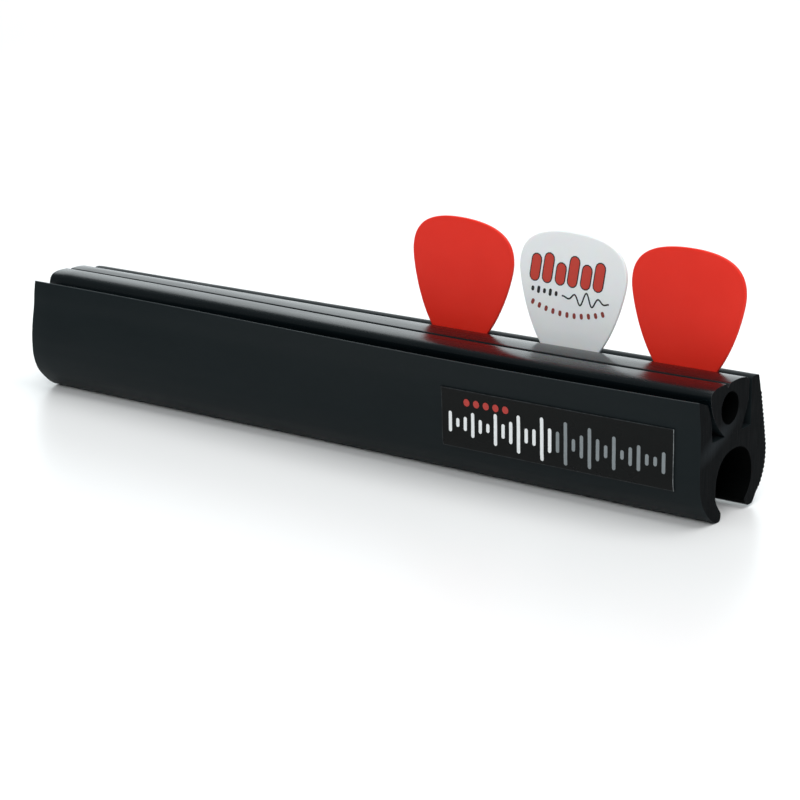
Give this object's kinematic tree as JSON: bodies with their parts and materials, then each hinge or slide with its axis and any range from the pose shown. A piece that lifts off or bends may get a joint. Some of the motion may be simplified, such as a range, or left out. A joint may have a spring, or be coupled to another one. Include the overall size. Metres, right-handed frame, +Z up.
{
  "type": "pick holder",
  "caption": "Soft extruded holder that clips lengthwise on a microphone stand tube and grips plectrums upright in its slots.",
  "frame": {"origin": "middle of the base, level with the undersides of the two jaws", "axes": "+X along the extrusion, -Y the labelled front, +Z up, the way the plectrums are pulled out"},
  "size_m": [0.18, 0.0271, 0.0515],
  "materials": {
    "soft_black_pvc": "satin",
    "printed_film": "gloss",
    "red_celluloid": "satin",
    "white_celluloid": "satin"
  },
  "bodies": {
    "holder": {"holder_extrusion": "soft_black_pvc", "label": "printed_film"},
    "pick_left": {"pick_red_left": "red_celluloid"},
    "pick_middle": {"pick_white_middle": "white_celluloid"},
    "pick_right": {"pick_red_right": "red_celluloid"}
  },
  "joints": [
    {"name": "pick_left_slide", "type": "slide", "parent": "holder", "child": "pick_left", "axis": [0, 0, 1], "range_m": [-0.004, 0.008]},
    {"name": "pick_middle_slide", "type": "slide", "parent": "holder", "child": "pick_middle", "axis": [0, 0, 1], "range_m": [-0.004, 0.008]},
    {"name": "pick_right_slide", "type": "slide", "parent": "holder", "child": "pick_right", "axis": [0, 0, 1], "range_m": [-0.004, 0.008]}
  ]
}
